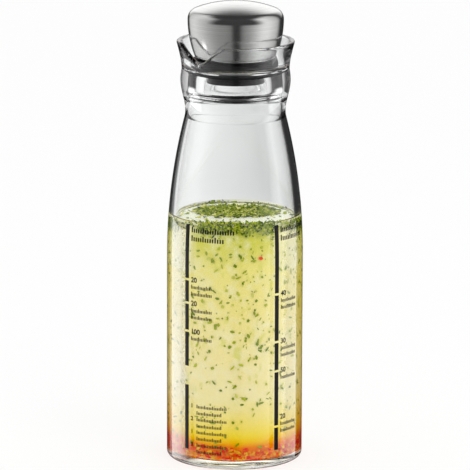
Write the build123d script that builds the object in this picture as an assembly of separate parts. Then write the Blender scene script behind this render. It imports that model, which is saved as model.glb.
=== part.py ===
from build123d import *
import math
import os

# Salad dressing shaker: a clear glass bottle with an integral pouring collar, and a lift-out stopper
# under a domed steel cap. Millimetres, +Z up, origin at the centre of the foot. The pouring notch in
# the collar's rim faces -Y.

# Bottle: outside form, from the foot upwards
BODY_RADIUS = 28.5
STRAIGHT_HEIGHT = 86.9
SHOULDER_HEIGHT = 58.5
WAIST_RADIUS = 21.2
BEAD_RISE = 15.4
BEAD_SWELL = 1.75
CREASE_RISE = 4.6
CREASE_DEPTH = 0.5
COLLAR_HEIGHT = 12.2
RIM_FLARE = 2.3
RIM_LEAN = 0.25

# Bottle: walls, floor and foot
BODY_WALL = 3.0
NECK_WALL = 2.6
COLLAR_WALL = 2.2
FLOOR_THICKNESS = 3.2
FLOOR_FILLET = 3.0
HEEL_RADIUS = 2.2
FOOT_LAND = 3.6
PUNT_DEPTH = 0.9
RIM_ROUND_SHARE = 0.43

# Bottle: the thick sealing ring in the neck, its cone-shaped seat and the bowl above it
NECK_RING_DEPTH = 5.5
BORE_LENGTH = 5.0
BORE_MOUTH_ROUND = 0.8
BORE_FLARE = 4.0
SEAT_RISE = 2.5
BOWL_ROUND = 2.35
BOWL_RISE = 3.8
BOWL_DROP = 3.1
BOWL_LEAN = 0.34

# Bottle: pouring notch
NOTCH_HALF_WIDTH = 11.8
NOTCH_DEPTH = 8.4
NOTCH_BOTTOM_ROUND = 6.0
NOTCH_CORNER_ROUND = 2.0

# Printed scales: four upright bars with a gap at each mark, the first one just beside the notch
BAR_WIDTH = 2.0
BAR_BOTTOM = 7.6
BAR_TOP = 103.6
BAR_GAP = 1.0
BAR_BREAK = 8.1
INK_THICKNESS = 0.12
BAR_START_ANGLE = -92.0
BAR_PITCH_ANGLE = 81.75
BAR_GAP_SHARES = [
    (0.528, 0.653, 0.757),
    (0.105, 0.353, 0.483, 0.695),
    (0.29, 0.47, 0.62),
    (0.18, 0.36, 0.58, 0.74),
]
BAR_BREAK_SHARE = 0.33

# Dressing
FILL_DEPTH = 100.6
HERB_DEPTH = 5.0
PEPPER_DEPTH = 2.6
LIQUID_CLEARANCE = 0.05

# Stopper: steel cap
CAP_COLLAR_GAP = 2.95
CAP_FLARE = 2.7
CAP_HEIGHT = 23.9
CAP_DOME_RADIUS = 48.3
CAP_SHOULDER_ROUND = 4.4
CAP_SHEET = 0.7
CAP_HEM_WIDTH = 1.2
CAP_HEM_ROUND = 1.8

# Stopper: black core inside the cap
CORE_CLEARANCE = 0.08
CORE_WALL = 1.6
CORE_WALL_HEIGHT = 10.5
CORE_FLOOR = 2.4
CORE_BOSS_RADIUS = 4.6
CORE_BOSS_END = 3.0
CORE_RIB_COUNT = 6
CORE_RIB_THICKNESS = 1.4
CORE_RIB_HEIGHT = 5.5

# Stopper: silicone seat seal
SEAL_OVERHANG = 0.3
SEAL_FLANGE = 2.9
SEAL_CLEARANCE = 0.1
SEAL_EDGE_ROUND = 0.8
SEAL_HOLE_CLEARANCE = 0.05

# Stopper: plug under the seal's nose, with a hollow hub up into the seal and a spigot through it
PLUG_CLEARANCE = 0.7
PLUG_DROP = 2.4
PLUG_THICKNESS = 1.4
PLUG_EDGE_ROUND = 0.5
HUB_RADIUS = 9.4
HUB_HEIGHT = 6.2
HUB_WALL = 2.0
HUB_TOP = 1.8
SPIGOT_RADIUS = 6.0

# Stopper: screw, washer and cover
SCREW_RADIUS = 1.75
SCREW_CLEARANCE = 0.06
SCREW_TIP_GAP = 3.1
SCREW_THREAD_LENGTH = 14.0
SCREW_HEAD_RADIUS = 3.3
SCREW_HEAD_HEIGHT = 2.3
SCREW_HEAD_ROUND = 0.8
DRIVE_SLOT_LENGTH = 4.0
DRIVE_SLOT_WIDTH = 0.9
DRIVE_SLOT_DEPTH = 1.3
WASHER_RADIUS = 4.6
WASHER_THICKNESS = 0.8
COVER_THICKNESS = 1.1
COVER_CLEARANCE = 0.05
COVER_DIMPLE_RADIUS = 4.0
COVER_DIMPLE_DEPTH = 0.4

OVERRUN = 5.0

# Radii and heights of the bottle's outside, stacked from the foot
waist_z = STRAIGHT_HEIGHT + SHOULDER_HEIGHT
bead_z = waist_z + BEAD_RISE
crease_z = bead_z + CREASE_RISE
rim_z = crease_z + COLLAR_HEIGHT
bead_radius = WAIST_RADIUS + BEAD_SWELL
crease_radius = bead_radius - CREASE_DEPTH
rim_radius = crease_radius + RIM_FLARE

# Inside of the bottle: the seat lies between the bowl and the bore, and the bore below it
inner_radius = BODY_RADIUS - BODY_WALL
neck_radius = WAIST_RADIUS - NECK_WALL
bore_radius = neck_radius - NECK_RING_DEPTH
bowl_radius = crease_radius - COLLAR_WALL
bowl_z = crease_z + BOWL_RISE
seat_outer_radius = bowl_radius - BOWL_ROUND
seat_inner_radius = bore_radius + BORE_MOUTH_ROUND
seat_top_z = bowl_z - BOWL_DROP
seat_bottom_z = seat_top_z - SEAT_RISE
seat_slope = SEAT_RISE / (seat_outer_radius - seat_inner_radius)
bore_top_z = seat_bottom_z - BORE_MOUTH_ROUND
bore_bottom_z = bore_top_z - BORE_LENGTH
flare_z = bore_bottom_z - BORE_FLARE

# Stopper: the seal's flange starts just above the seat, and the plug ends inside the bore
flange_z = seat_top_z + SEAL_EDGE_ROUND
cap_foot_z = flange_z + SEAL_FLANGE
cap_top_z = cap_foot_z + CAP_HEIGHT
cap_foot_radius = bowl_radius - CAP_COLLAR_GAP
cap_radius = cap_foot_radius + CAP_FLARE
hem_radius = cap_foot_radius - CAP_HEM_ROUND - CAP_HEM_WIDTH
seal_radius = cap_foot_radius + SEAL_OVERHANG
plug_bottom_z = bore_top_z - PLUG_DROP
plug_top_z = plug_bottom_z + PLUG_THICKNESS
plug_radius = bore_radius - PLUG_CLEARANCE
hub_top_z = plug_bottom_z + HUB_HEIGHT
well_radius = HUB_RADIUS - HUB_WALL
washer_top_z = hub_top_z - HUB_TOP
screw_seat_z = washer_top_z - WASHER_THICKNESS
screw_tip_z = screw_seat_z + SCREW_THREAD_LENGTH
screw_hole_radius = SCREW_RADIUS + SCREW_CLEARANCE

UP = (0, 0, 1)
DOWN = (0, 0, -1)
OUTWARD = (1, 0, 0)
INWARD = (-1, 0, 0)
DOWN_THE_SEAT = (-1, 0, -seat_slope)
UP_THE_RIM = (RIM_LEAN, 0, 1)
UP_THE_BOWL = (BOWL_LEAN, 0, 1)


def at(radius, height):
    """A point of a half section, in the plane y = 0."""
    return (radius, 0, height)


def turned(*edges):
    """The solid that a closed half section sweeps about the Z axis."""
    return revolve(make_face(Curve() + list(edges)), Axis.Z)


def ring(inner, outer, low, high):
    """A plain ring or disc between two heights."""
    shape = Pos(0, 0, (low + high) / 2) * Cylinder(outer, high - low)
    if inner > 0:
        shape -= Pos(0, 0, (low + high) / 2) * Cylinder(inner, high - low + OVERRUN)
    return shape


def write(shape, name):
    """One STEP file for one piece."""
    os.makedirs("parts", exist_ok=True)
    export_step(shape, f"parts/{name}.step")


def shoulder(low_radius, high_radius):
    """The long shoulder arc, upright where it leaves the straight body."""
    return TangentArc(at(low_radius, STRAIGHT_HEIGHT), at(high_radius, waist_z), tangent=UP)


def foot_edges():
    """Underside and heel: a shallow dome, the flat land that the bottle stands on, a rounded heel."""
    foot_radius = BODY_RADIUS - HEEL_RADIUS
    punt_radius = foot_radius - FOOT_LAND
    return [
        TangentArc(at(0, PUNT_DEPTH), at(punt_radius, 0), tangent=OUTWARD),
        Line(at(punt_radius, 0), at(foot_radius, 0)),
        TangentArc(at(foot_radius, 0), at(BODY_RADIUS, HEEL_RADIUS), tangent=OUTWARD),
    ]


def outside_edges():
    """Straight body, long shoulder, swelling bead, crease and flared collar up to the rim."""
    slope = shoulder(BODY_RADIUS, WAIST_RADIUS)
    return [
        Line(at(BODY_RADIUS, HEEL_RADIUS), at(BODY_RADIUS, STRAIGHT_HEIGHT)),
        slope,
        Spline([slope @ 1, at(bead_radius, bead_z)], tangents=[slope % 1, UP]),
        TangentArc(at(bead_radius, bead_z), at(crease_radius, crease_z), tangent=UP),
        Spline([at(crease_radius, crease_z), at(rim_radius, rim_z)], tangents=[UP, UP_THE_RIM]),
        Line(at(rim_radius, rim_z), at(rim_radius - COLLAR_WALL, rim_z)),
    ]


def mouth_edges():
    """From the rim inwards and down: bowl, seat cone, bore and the flare below the sealing ring."""
    seat_inner = at(seat_inner_radius, seat_bottom_z)
    seat_outer = at(seat_outer_radius, seat_top_z)
    bore_top = at(bore_radius, bore_top_z)
    bore_bottom = at(bore_radius, bore_bottom_z)
    return [
        Spline([at(bowl_radius, bowl_z), at(rim_radius - COLLAR_WALL, rim_z)], tangents=[UP, UP_THE_BOWL]),
        Spline([at(bowl_radius, bowl_z), seat_outer], tangents=[DOWN, DOWN_THE_SEAT]),
        Line(seat_outer, seat_inner),
        Spline([seat_inner, bore_top], tangents=[DOWN_THE_SEAT, DOWN]),
        Line(bore_top, bore_bottom),
        Spline([bore_bottom, at(neck_radius, flare_z)], tangents=[DOWN, DOWN]),
    ]


def inside_edges():
    """Neck, inner shoulder, inner side and the filleted floor."""
    slope = shoulder(inner_radius, neck_radius)
    floor_corner = at(inner_radius, FLOOR_THICKNESS + FLOOR_FILLET)
    floor_edge = at(inner_radius - FLOOR_FILLET, FLOOR_THICKNESS)
    return [
        Spline([at(neck_radius, flare_z), slope @ 1], tangents=[DOWN, (slope % 1) * -1]),
        slope,
        Line(at(inner_radius, STRAIGHT_HEIGHT), floor_corner),
        TangentArc(floor_corner, floor_edge, tangent=DOWN),
        Line(floor_edge, at(0, FLOOR_THICKNESS)),
        Line(at(0, FLOOR_THICKNESS), at(0, PUNT_DEPTH)),
    ]


def notch_cutter():
    """A rounded V on the rim's front, with eased corners where it meets the rim."""
    reach = NOTCH_HALF_WIDTH + NOTCH_CORNER_ROUND + OVERRUN
    lip = FilletPolyline(
        (-reach, 0, rim_z),
        (-NOTCH_HALF_WIDTH, 0, rim_z),
        (0, 0, rim_z - NOTCH_DEPTH),
        (NOTCH_HALF_WIDTH, 0, rim_z),
        (reach, 0, rim_z),
        radius=[NOTCH_CORNER_ROUND, NOTCH_BOTTOM_ROUND, NOTCH_CORNER_ROUND],
    )
    top_z = rim_z + OVERRUN
    over = Polyline((reach, 0, rim_z), (reach, 0, top_z), (-reach, 0, top_z), (-reach, 0, rim_z))
    return extrude(make_face(Curve() + [lip, over]), amount=rim_radius + OVERRUN, dir=(0, -1, 0))


def glass_bottle():
    """The bottle, turned, with its notch cut and the edges of rim and notch rounded."""
    shape = turned(*foot_edges(), *outside_edges(), *mouth_edges(), *inside_edges()) - notch_cutter()
    cut_types = (GeomType.PLANE, GeomType.CYLINDER)
    rim_faces = [f for f in shape.faces() if f.geom_type in cut_types and f.center().Z > crease_z]
    edges = [e for f in rim_faces for e in f.edges()]
    sharp = [e for e in edges if edges.count(e) == 1]
    return fillet(sharp, COLLAR_WALL * RIM_ROUND_SHARE)


def side_form(swell):
    """The bottle's straight side and shoulder as a solid, grown outwards by swell."""
    slope = shoulder(BODY_RADIUS + swell, WAIST_RADIUS + swell)
    return turned(
        Line(at(0, 0), at(BODY_RADIUS + swell, 0)),
        Line(at(BODY_RADIUS + swell, 0), at(BODY_RADIUS + swell, STRAIGHT_HEIGHT)),
        slope,
        Line(slope @ 1, at(0, waist_z)),
        Line(at(0, waist_z), at(0, 0)),
    )


def printed_bars():
    """The printed scales: thin strips of ink that follow the glass, with a gap at each mark."""
    ink = side_form(INK_THICKNESS) - side_form(0)
    height = BAR_TOP - BAR_BOTTOM
    strips = []
    for number, shares in enumerate(BAR_GAP_SHARES):
        gaps = [(share, BAR_GAP) for share in shares]
        if number == 0:
            gaps.append((BAR_BREAK_SHARE, BAR_BREAK))
        low = BAR_BOTTOM
        for share, gap in sorted(gaps) + [(1, 0)]:
            high = BAR_BOTTOM + share * height - gap / 2
            strip = Pos(0, 0, low) * Box(
                BODY_RADIUS + OVERRUN,
                BAR_WIDTH,
                high - low,
                align=(Align.MIN, Align.CENTER, Align.MIN),
            )
            strips += (ink & (Rot(0, 0, BAR_START_ANGLE + number * BAR_PITCH_ANGLE) * strip)).solids()
            low = high + gap
    return Compound(strips)


def cavity():
    """What fills the bottle up to the waist, a hair clear of the glass all round."""
    floor_z = FLOOR_THICKNESS + LIQUID_CLEARANCE
    radius = inner_radius - LIQUID_CLEARANCE
    corner_z = FLOOR_THICKNESS + FLOOR_FILLET
    slope = shoulder(radius, neck_radius - LIQUID_CLEARANCE)
    floor_edge = at(inner_radius - FLOOR_FILLET, floor_z)
    return turned(
        Line(at(0, floor_z), floor_edge),
        TangentArc(floor_edge, at(radius, corner_z), tangent=OUTWARD),
        Line(at(radius, corner_z), at(radius, STRAIGHT_HEIGHT)),
        slope,
        Line(slope @ 1, at(0, waist_z)),
        Line(at(0, waist_z), at(0, floor_z)),
    )


def dressing_layers():
    """The dressing as it stands: pepper flakes on the floor, the liquid, and herbs afloat on it."""
    whole = cavity()
    pepper_z = FLOOR_THICKNESS + PEPPER_DEPTH
    surface_z = FLOOR_THICKNESS + FILL_DEPTH
    herb_z = surface_z - HERB_DEPTH
    return {
        "pepper_layer": whole & ring(0, BODY_RADIUS, 0, pepper_z),
        "dressing": whole & ring(0, BODY_RADIUS, pepper_z, herb_z),
        "herb_layer": whole & ring(0, BODY_RADIUS, herb_z, surface_z),
    }


def cap_form(shrink):
    """The cap's outer form as a solid, drawn in by shrink all over."""
    dome_z = cap_top_z - CAP_DOME_RADIUS
    round_x = cap_radius - CAP_SHOULDER_ROUND
    round_z = dome_z + math.sqrt((CAP_DOME_RADIUS - CAP_SHOULDER_ROUND) ** 2 - round_x**2)
    lean = math.atan2(round_x, round_z - dome_z)
    dome_radius = CAP_DOME_RADIUS - shrink
    dome_end = at(dome_radius * math.sin(lean), dome_z + dome_radius * math.cos(lean))
    dome = TangentArc(at(0, cap_top_z - shrink), dome_end, tangent=OUTWARD)
    corner = TangentArc(dome_end, at(cap_radius - shrink, round_z), tangent=dome % 1)

    hem_z = cap_foot_z + CAP_HEM_ROUND
    rise = round_z - hem_z
    side_radius = (rise**2 + CAP_FLARE**2) / (2 * CAP_FLARE)
    side_end_x = cap_radius - side_radius + math.sqrt((side_radius - shrink) ** 2 - rise**2)
    side_end = at(side_end_x, hem_z)
    side = TangentArc(at(cap_radius - shrink, round_z), side_end, tangent=DOWN)
    foot_z = cap_foot_z + shrink
    foot = at(side_end_x - (CAP_HEM_ROUND - shrink), foot_z)
    hem = Spline([side_end, foot], tangents=[side % 1, INWARD])
    return turned(
        dome,
        corner,
        side,
        hem,
        Line(foot, at(0, foot_z)),
        Line(at(0, foot_z), at(0, cap_top_z - shrink)),
    )


def cap_shell():
    """Drawn steel dome with its foot turned in."""
    opening = ring(0, hem_radius, cap_foot_z - OVERRUN, cap_foot_z + CAP_SHEET + OVERRUN)
    return cap_form(0) - cap_form(CAP_SHEET) - opening


def cap_core():
    """Black moulding trapped above the cap's turned-in foot: cup, step, ribs and screw boss."""
    outside = CAP_SHEET + CORE_CLEARANCE
    floor_top = cap_foot_z + outside + CORE_FLOOR
    wall_top = cap_foot_z + outside + CORE_WALL_HEIGHT
    hole_top = screw_tip_z + SCREW_TIP_GAP
    cup = cap_form(outside) & ring(0, cap_radius, cap_foot_z, wall_top)
    cup -= cap_form(outside + CORE_WALL) & ring(0, cap_radius, floor_top, wall_top + OVERRUN)
    shape = cup + ring(0, hem_radius - CORE_CLEARANCE, cap_foot_z, floor_top)
    shape += ring(0, CORE_BOSS_RADIUS, floor_top, hole_top + CORE_BOSS_END)
    rib = Pos(0, 0, floor_top) * Box(
        cap_radius,
        CORE_RIB_THICKNESS,
        CORE_RIB_HEIGHT,
        align=(Align.MIN, Align.CENTER, Align.MIN),
    )
    for number in range(CORE_RIB_COUNT):
        shape += (Rot(0, 0, number * 360 / CORE_RIB_COUNT) * rib) & cap_form(outside + CORE_WALL / 2)
    return shape - ring(0, screw_hole_radius, cap_foot_z - OVERRUN, hole_top)


def seat_seal():
    """Black silicone seal: a flange under the cap, a cone that sits on the glass, a nose in the bore."""
    hole_radius = SPIGOT_RADIUS + SEAL_HOLE_CLEARANCE
    recess_radius = HUB_RADIUS + SEAL_HOLE_CLEARANCE
    recess_z = hub_top_z + SEAL_HOLE_CLEARANCE
    cone_z = seat_bottom_z + SEAL_CLEARANCE
    cone_radius = seal_radius - SEAL_EDGE_ROUND
    cone_end = at(cone_radius, cone_z + (cone_radius - seat_inner_radius) * seat_slope)
    return turned(
        Line(at(hole_radius, cap_foot_z), at(seal_radius, cap_foot_z)),
        Line(at(seal_radius, cap_foot_z), at(seal_radius, flange_z)),
        Spline([at(seal_radius, flange_z), cone_end], tangents=[DOWN, DOWN_THE_SEAT]),
        Line(cone_end, at(seat_inner_radius, cone_z)),
        Line(at(seat_inner_radius, cone_z), at(plug_radius, cone_z)),
        Line(at(plug_radius, cone_z), at(plug_radius, plug_top_z)),
        Line(at(plug_radius, plug_top_z), at(recess_radius, plug_top_z)),
        Line(at(recess_radius, plug_top_z), at(recess_radius, recess_z)),
        Line(at(recess_radius, recess_z), at(hole_radius, recess_z)),
        Line(at(hole_radius, recess_z), at(hole_radius, cap_foot_z)),
    )


def stopper_plug():
    """Black plug: a disc under the seal, a hollow hub up into it, and a spigot that passes through it."""
    shape = ring(0, plug_radius, plug_bottom_z, plug_top_z)
    shape = fillet(shape.edges().group_by(Axis.Z)[0], PLUG_EDGE_ROUND)
    shape += ring(0, HUB_RADIUS, plug_top_z, hub_top_z)
    shape += ring(0, SPIGOT_RADIUS, hub_top_z, cap_foot_z)
    shape -= ring(0, well_radius, plug_bottom_z - OVERRUN, washer_top_z)
    return shape - ring(0, screw_hole_radius, plug_bottom_z, cap_foot_z + OVERRUN)


def clamp_screw():
    """Pan-head screw that clamps plug, seal and core together from below."""
    head_z = screw_seat_z - SCREW_HEAD_HEIGHT
    head = ring(0, SCREW_HEAD_RADIUS, head_z, screw_seat_z)
    head = fillet(head.edges().group_by(Axis.Z)[0], SCREW_HEAD_ROUND)
    slot = Pos(0, 0, head_z) * Box(
        DRIVE_SLOT_LENGTH,
        DRIVE_SLOT_WIDTH,
        DRIVE_SLOT_DEPTH,
        align=(Align.CENTER, Align.CENTER, Align.MIN),
    )
    head -= slot
    head -= Rot(0, 0, 90) * slot
    return head + ring(0, SCREW_RADIUS, screw_seat_z, screw_tip_z)


def screw_washer():
    """Sealing washer between the screw's head and the plug."""
    return ring(screw_hole_radius, WASHER_RADIUS, screw_seat_z, washer_top_z)


def plug_cover():
    """Disc that snaps into the hub's open end and hides the screw."""
    radius = well_radius - COVER_CLEARANCE
    shape = ring(0, radius, plug_bottom_z, plug_bottom_z + COVER_THICKNESS)
    return shape - ring(0, COVER_DIMPLE_RADIUS, plug_bottom_z - OVERRUN, plug_bottom_z + COVER_DIMPLE_DEPTH)


write(glass_bottle(), "glass_bottle")
write(printed_bars(), "printed_bars")
for layer_name, layer in dressing_layers().items():
    write(layer, layer_name)
write(cap_shell(), "cap_shell")
write(cap_core(), "cap_core")
write(seat_seal(), "seat_seal")
write(stopper_plug(), "stopper_plug")
write(clamp_screw(), "clamp_screw")
write(screw_washer(), "screw_washer")
write(plug_cover(), "plug_cover")
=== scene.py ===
import math
import random

import bmesh
import bpy
from mathutils import Matrix, Quaternion, Vector

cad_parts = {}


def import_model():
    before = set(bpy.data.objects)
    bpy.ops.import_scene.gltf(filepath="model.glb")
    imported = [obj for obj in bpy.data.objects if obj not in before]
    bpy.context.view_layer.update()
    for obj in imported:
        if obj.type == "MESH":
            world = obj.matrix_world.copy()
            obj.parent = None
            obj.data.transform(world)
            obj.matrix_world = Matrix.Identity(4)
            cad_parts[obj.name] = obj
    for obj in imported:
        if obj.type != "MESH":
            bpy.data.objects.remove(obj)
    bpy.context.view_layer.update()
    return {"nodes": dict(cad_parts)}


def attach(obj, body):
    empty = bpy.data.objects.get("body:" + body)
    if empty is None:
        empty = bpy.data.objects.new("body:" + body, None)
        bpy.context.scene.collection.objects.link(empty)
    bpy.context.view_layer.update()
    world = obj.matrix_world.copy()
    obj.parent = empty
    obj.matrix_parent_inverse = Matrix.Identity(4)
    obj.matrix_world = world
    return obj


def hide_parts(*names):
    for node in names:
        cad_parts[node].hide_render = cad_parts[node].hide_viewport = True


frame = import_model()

# Salad dressing shaker. Sizes are in millimetres, times MM where they reach a mesh. Height is measured
# from the foot, and the pouring notch faces -Y.
MM = 0.001

# Glass, outside
BODY_RADIUS = 28.5
STRAIGHT_HEIGHT = 86.9
WAIST_RADIUS = 21.2
WAIST_Z = 145.4
BEAD_RADIUS = 22.95
BEAD_Z = 160.8
CREASE_RADIUS = 22.45
CREASE_Z = 165.4
RIM_RADIUS = 24.75
RIM_Z = 177.6
RIM_LEAN = 0.25
HEEL_RADIUS = 2.2
FOOT_LAND = 3.6
PUNT_DEPTH = 0.9
PUNT_EDGE = 0.4
# Glass, inside
BODY_WALL = 3.0
NECK_RADIUS = 18.6
COLLAR_WALL = 2.2
RIM_ROUND_SHARE = 0.43
RIM_GAP = 0.3
FLOOR_Z = 3.2
FLOOR_FILLET = 3.0
BOWL_Z = 169.2
BOWL_LEAN = 0.34
BOWL_ROUND = 2.35
SEAT_TOP_Z = 166.1
SEAT_BOTTOM_Z = 163.6
SEAT_INNER_RADIUS = 13.9
BORE_RADIUS = 13.1
BORE_TOP_Z = 162.8
BORE_BOTTOM_Z = 157.8
FLARE_Z = 153.8
# Pouring notch
NOTCH_HALF_WIDTH = 11.8
NOTCH_DEPTH = 8.4
NOTCH_BOTTOM_ROUND = 6.0
NOTCH_CORNER_ROUND = 2.0
NOTCH_LIP = 1.4
# Dressing. It laps a hair into the glass and creeps up it, and its cloudy heart ends short of the glass
SURFACE_Z = 103.8
LIQUID_LAP = 0.12
MENISCUS = 0.9
MENISCUS_WIDTH = 2.6
CLOUD_RADIUS = 24.3
CLOUD_TAPER = 7.3
CLOUD_LIFT = 0.5
CLOUD_HEADROOM = 0.9
CLOUD_FOOT_INSET = 1.3
CLOUD_FOOT_RISE = 1.6
CLOUD_EDGE_INSET = 0.8
CLOUD_EDGE_DROP = 1.0
# Steel cap
CAP_RADIUS = 20.0
CAP_FOOT_RADIUS = 17.3
CAP_TOP_Z = 193.7
CAP_FOOT_Z = 169.8
CAP_DOME_RADIUS = 48.3
CAP_SHOULDER_ROUND = 4.4
CAP_SHEET = 0.7
CAP_HEM_ROUND = 1.8
CAP_HEM_RADIUS = 14.3
# Silicone seal, squeezed a hair into the glass that it sits on
SEAL_RADIUS = 17.6
SEAL_FLANGE_Z = 166.9
SEAL_TOP_ROUND = 0.3
SEAL_EDGE_ROUND = 0.8
SEAL_NOSE_RADIUS = 12.4
SEAL_NOSE_Z = 161.8
SEAL_NOSE_STEP = 0.4
SEAL_RECESS_RADIUS = 9.45
SEAL_RECESS_Z = 166.65
SEAL_HOLE_RADIUS = 6.05
SEAL_SQUEEZE = 0.05

# Herbs and pepper. Each kind of scrap has a number of corners, a length, a width and a thickness
LEAVES = {
    "leaf_a": (6, 1.9, 1.1, 0.14),
    "leaf_b": (5, 1.4, 1.2, 0.14),
    "leaf_c": (7, 2.6, 0.7, 0.14),
    "leaf_d": (5, 1.0, 0.8, 0.14),
}
FLAKES = {
    "flake_a": (5, 3.2, 1.9, 0.35),
    "flake_b": (6, 2.2, 1.9, 0.35),
    "flake_c": (4, 3.8, 1.5, 0.3),
}
# Their colours, from the lowest tone to the highest
GREENS = [(0.03, 0.07, 0.0), (0.20, 0.32, 0.0), (0.54, 0.60, 0.02), (0.92, 0.90, 0.34)]
REDS = [(0.88, 0.012, 0.003), (0.98, 0.09, 0.001), (0.98, 0.30, 0.001), (0.98, 0.68, 0.02)]
# How far inside the glass scraps lie by it, more or less, and the seed of all draws
SCRAP_GAP = 0.9
SEED = 11
# The raft of herbs afloat: half its width and depth, and how far its middle lies right of the axis and
# behind it, as the camera sees them. Its edge is ragged, and a few scraps stray past it
RAFT_COUNT = 1900
RAFT_SIZES = (0.8, 1.6)
RAFT_LIFT = (-0.15, 0.45)
RAFT_WIDTH = 18.6
RAFT_DEPTH = 11.8
RAFT_ASIDE = 0.7
RAFT_BACK = 4.2
RAFT_EDGE = (0.85, 1.1)
RAFT_STRAYS = 0.04
# Herbs that hang along the glass from the surface down. They reach higher at the camera's side, and a few
# stretches are nearly bare: from and to, in radians from the camera's side, and the share that is left
HANGING_COUNT = 3400
HANGING_SIZES = (0.45, 1.0)
HANGING_TOP = SURFACE_Z - 1.3
HANGING_CLIMB = 2.9
HANGING_SPREAD = 2.6
HANGING_REACH = 7.5
BARE_STRETCHES = [(-1.15, -0.62, 0.1), (0.68, 1.05, 0.4)]
# A clump in front of the top of one bar at the back
CLUMP_COUNT = 34
CLUMP_SIZES = (0.5, 1.0)
CLUMP_LIFT = (-0.8, 0.35)
CLUMP_SPREAD = 9
# Herbs adrift in the dressing, clear of the pepper and of the surface
ADRIFT_COUNT = 1250
ADRIFT_SIZES = (0.35, 1.3)
ADRIFT_LOW = 4
ADRIFT_HIGH = 12
# Pepper heaped against the foot of the glass, drawn in where the floor bends up, and strewn over the floor
HEAP_COUNT = 1000
HEAP_SIZES = (0.55, 1.0)
HEAP_FOOT = 1.3
HEAP_HEIGHT = 4.9
HEAP_BEND = 1.7
STREWN_COUNT = 500
STREWN_SIZES = (0.5, 0.9)
STREWN_MARGIN = 1.6
STREWN_RISE = (0.22, 0.45)
# One red flake that clings to the glass: right of the axis, towards the camera, height, tilt and size
RED_SCRAP_RIGHT = 10.4
RED_SCRAP_NEAR = 22.9
RED_SCRAP_Z = 89.9
RED_SCRAP_TILT = math.radians(80)
RED_SCRAP_SIZE = 0.95

# Print: the bars stand at these bearings from +X, in degrees. Right of each bar are its marks, a number
# beside each gap and rows of fine ticks below it: the gap's share of the bar's height, the number and how
# many rows
BAR_BEARINGS = [-92.0, -10.25, 71.5, 153.25]
BAR_BOTTOM = 7.6
BAR_HEIGHT = 96.0
MARKS = [
    [(0.528, "100", 1), (0.653, "20", 2), (0.757, "20", 2)],
    [(0.145, "20", 2), (0.353, "50", 1), (0.483, "30", 2), (0.695, "40", 2)],
    [(0.29, "60", 1), (0.47, "40", 2), (0.62, "30", 2)],
    [(0.18, "80", 1), (0.36, "40", 2), (0.58, "20", 2), (0.74, "10", 2)],
]
MARK_START = 2.2
DIGIT_SIZE = 3.0
DIGIT_WEIGHT = 0.09
LINE_PITCH = 2.9
# Smaller numbers beside the foot of the first bar, by height, each with two rows of ticks
LOW_MARKS = [(26.5, "1"), (21.0, "2"), (15.5, "1"), (9.9, "3")]
LOW_SIZE_SHARE = 0.8
LOW_PITCH_SHARE = 0.95
LOW_TICKS_START = MARK_START + 3.2
# Wide rulers at the head of every scale: height and number of ticks
HEAD_RULERS = [(101.6, 18), (98.0, 14)]
HEAD_TICK = 2.4
HEAD_PITCH = 1.1
# Rows of ticks, how many in each and how tall: below a number, and beside a small one
LINE_TICKS = 14
LINE_TICK = 1.6
LOW_TICKS = (19, 16)
LOW_TICK = 1.5
# How far apart ticks stand, and the share of that which is inked. All but every fifth are cut short
TICK_PITCH = 0.72
TICK_WIDTH_SHARE = 0.6
TICK_START = 0.3
SHORT_SHARE = 0.2
TALL_EVERY = 5
INK_RELIEF = 0.02

# Meshes: steps of a full turn, how close points are merged, and how close to the axis counts as on it
TURN_STEPS = 192
MERGE_DISTANCE = 0.002
ON_AXIS = 0.001

# Finishes: how strongly each clear one bends light, and the share of light that the others pass as a glow
GLASS_IOR = 1.5
LIQUID_IOR = 1.4
CLOUD_IOR = 1.35
CLOUD_GLOW = 0.15
SCRAP_GLOW = 0.25

# The brightness that shiny things mirror, by bearing from the camera's side (negative is left) or by
# height, in degrees
SOFTBOXES = [
    (-158, 0.03), (-149, 0.03), (-142, 0.85), (-117, 1.05), (-97, 0.86), (-77, 0.66), (-59, 0.48),
    (-43, 0.38), (-28, 0.34), (-13, 0.28), (-5, 0.05), (8, 0.03), (18, 0.3), (36, 0.48), (51, 0.75),
    (68, 1.1), (86, 1.15), (100, 0.95), (119, 0.7), (126, 0.4), (132, 0.03),
]
BEHIND = [(10, 1.4), (25, 1.38), (32, 1.2), (37, 0.86), (41, 0.5), (46, 0.2), (50, 0.07)]
ABOVE = [(50, 0.07), (75, 0.04)]
# The brightness that shows straight through the glass, by bearing
THROUGH = [
    (-180, 0.86), (-178, 0.92), (-176, 0.95), (-174, 0.98), (-166, 0.95), (-150, 0.92), (-138, 0.8),
    (-130, 0.5), (-124, 0.1), (-112, 0.06), (-100, 0.4), (-90, 0.6), (90, 0.6), (104, 0.3), (121, 0.42),
    (133, 0.7), (150, 0.84), (160, 0.74), (168, 0.66), (172, 0.76), (174, 0.90), (174.6, 0.66),
    (176, 0.66), (178, 0.78), (180, 0.86),
]
# Where BEHIND and the dark front take over, by bearing and then by height, and ABOVE, by height
IS_BEHIND = [(-165, 1), (-140, 0), (140, 0), (165, 1)]
IS_FRONT = [(-75, 0), (-50, 1), (50, 1), (75, 0)]
CLEARS_BEHIND = [(0, 0), (7, 1)]
CLEARS_FRONT = [(-6, 0), (6, 1)]
IS_ABOVE = [(48, 0), (62, 1)]
FRONT_LEVEL = 0.05

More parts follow.
